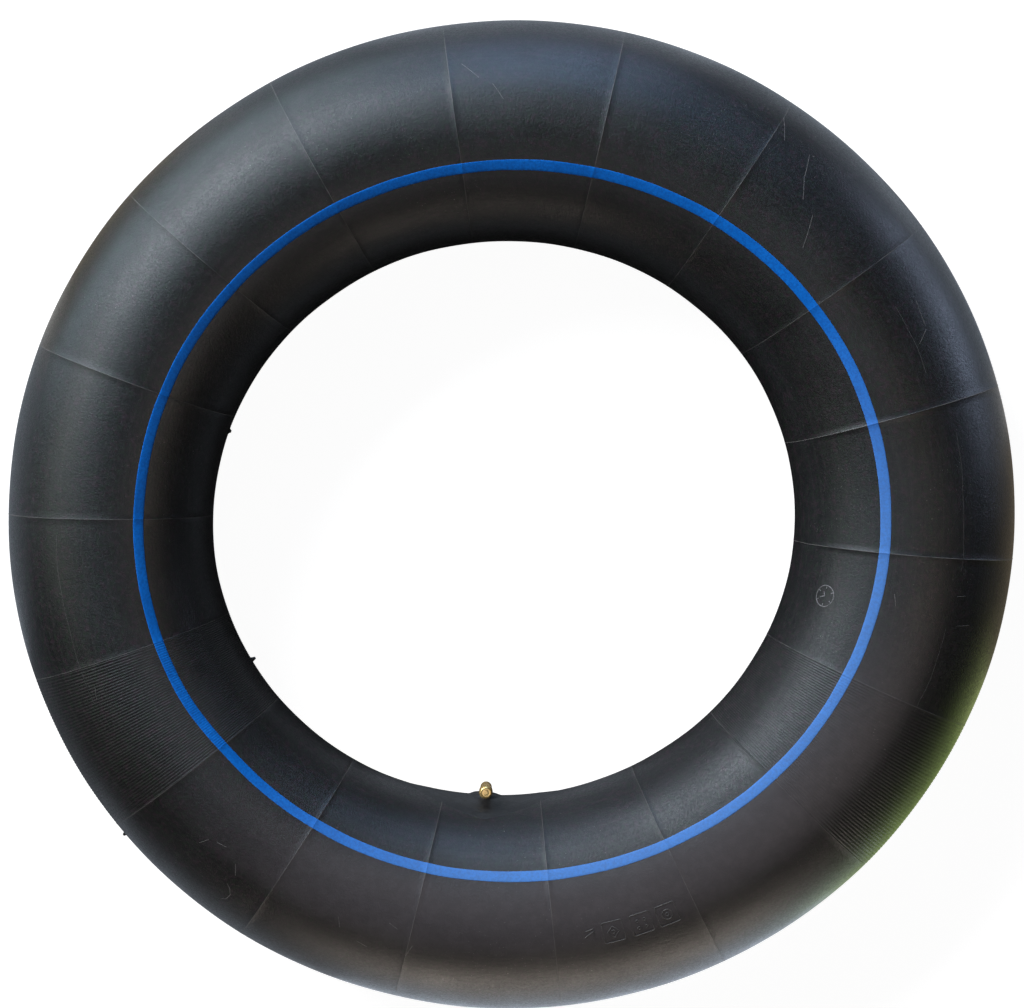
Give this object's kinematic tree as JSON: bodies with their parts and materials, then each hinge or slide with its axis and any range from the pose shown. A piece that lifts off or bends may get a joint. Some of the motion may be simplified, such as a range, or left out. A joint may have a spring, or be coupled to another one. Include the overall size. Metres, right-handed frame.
{
  "type": "inner tube",
  "caption": "Inflated rubber inner tube for a light-truck wheel, lying flat, with a coloured stripe and a bent brass valve with a screw cap.",
  "frame": {"origin": "centre of the ring, halfway between its two flat sides", "axes": "+Z along the ring's axis, the way the valve's tip and cap point; -Y from the origin towards the valve; +X to the right of the valve when it is seen from the origin's +Z side with -Y down"},
  "size_m": [0.7006, 0.6903, 0.1458],
  "materials": {
    "tube_body": "satin",
    "colour_stripe": "satin",
    "valve_base_pad": "satin",
    "valve_stem": "machined",
    "core_brass": "machined",
    "core_barrel_seal": "satin",
    "core_spring": "bright wire",
    "seal_rubber": "matt",
    "cap_shell": "knurled"
  },
  "bodies": {
    "tube": {"tube_body": "tube_body", "colour_stripe": "colour_stripe", "valve_base_pad": "valve_base_pad", "valve_stem": "valve_stem", "core_plug": "core_brass", "core_barrel": "core_brass", "core_barrel_seal": "core_barrel_seal", "core_spring": "core_spring"},
    "plunger": {"core_pin": "core_brass", "core_spring_seat": "core_brass", "core_cup": "core_brass", "core_cup_seal": "seal_rubber"},
    "cap_seal": {"cap_gasket": "seal_rubber"},
    "cap": {"cap_shell": "cap_shell"}
  },
  "joints": [
    {"name": "core_press", "type": "slide", "parent": "tube", "child": "plunger", "axis": [0, 0, -1], "range_m": [0, 0.0016], "stiffness_N_per_m": 800, "springref_m": -0.0005, "deforming": ["core_spring"]},
    {"name": "cap_lift", "type": "slide", "parent": "tube", "child": "cap_seal", "axis": [0, 0, 1], "range_m": [0, 0.00953]},
    {"name": "cap_turn", "type": "hinge", "parent": "cap_seal", "child": "cap", "pos_m": [0, -0.19013, 0.033], "axis": [0, 0, 1], "range_deg": [0, 4330]}
  ],
  "couplings": [
    {"joint": "cap_turn", "follows": "cap_lift", "rad_per_m": 7915.8}
  ]
}
